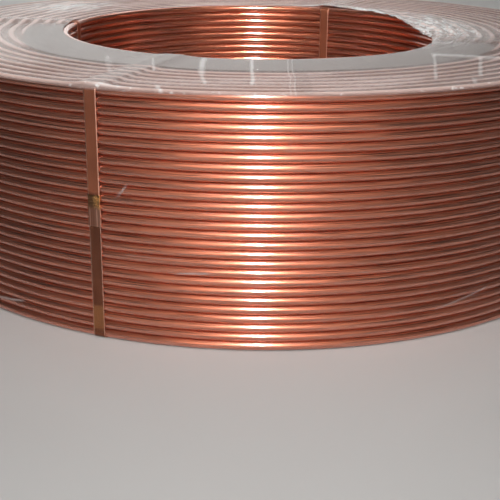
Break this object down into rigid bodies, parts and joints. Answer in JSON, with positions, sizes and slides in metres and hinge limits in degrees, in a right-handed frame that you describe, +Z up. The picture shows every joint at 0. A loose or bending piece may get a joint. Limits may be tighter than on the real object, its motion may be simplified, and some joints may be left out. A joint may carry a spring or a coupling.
{
  "type": "copper tube coil",
  "caption": "Level-wound coil of copper tube standing on its end, with an open bore, flat straps closed by crimped seals, and a clear film over the wall and top.",
  "frame": {"origin": "centre of the base, on the floor that the straps' undersides rest on", "axes": "+Z up along the coil's axis; the picture is taken looking roughly along +Y"},
  "size_m": [1.0974, 1.0974, 0.3271],
  "materials": {
    "copper_tube": "satin",
    "copper_strap": "satin",
    "seal_metal": "gloss",
    "clear_film": "gloss"
  },
  "bodies": {
    "root": {"tube_coil": "copper_tube", "strap_1": "copper_strap", "strap_2": "copper_strap", "strap_3": "copper_strap", "strap_4": "copper_strap", "strap_seal_1": "seal_metal", "strap_seal_2": "seal_metal", "strap_seal_3": "seal_metal", "strap_seal_4": "seal_metal", "stretch_film": "clear_film"}
  },
  "joints": []
}
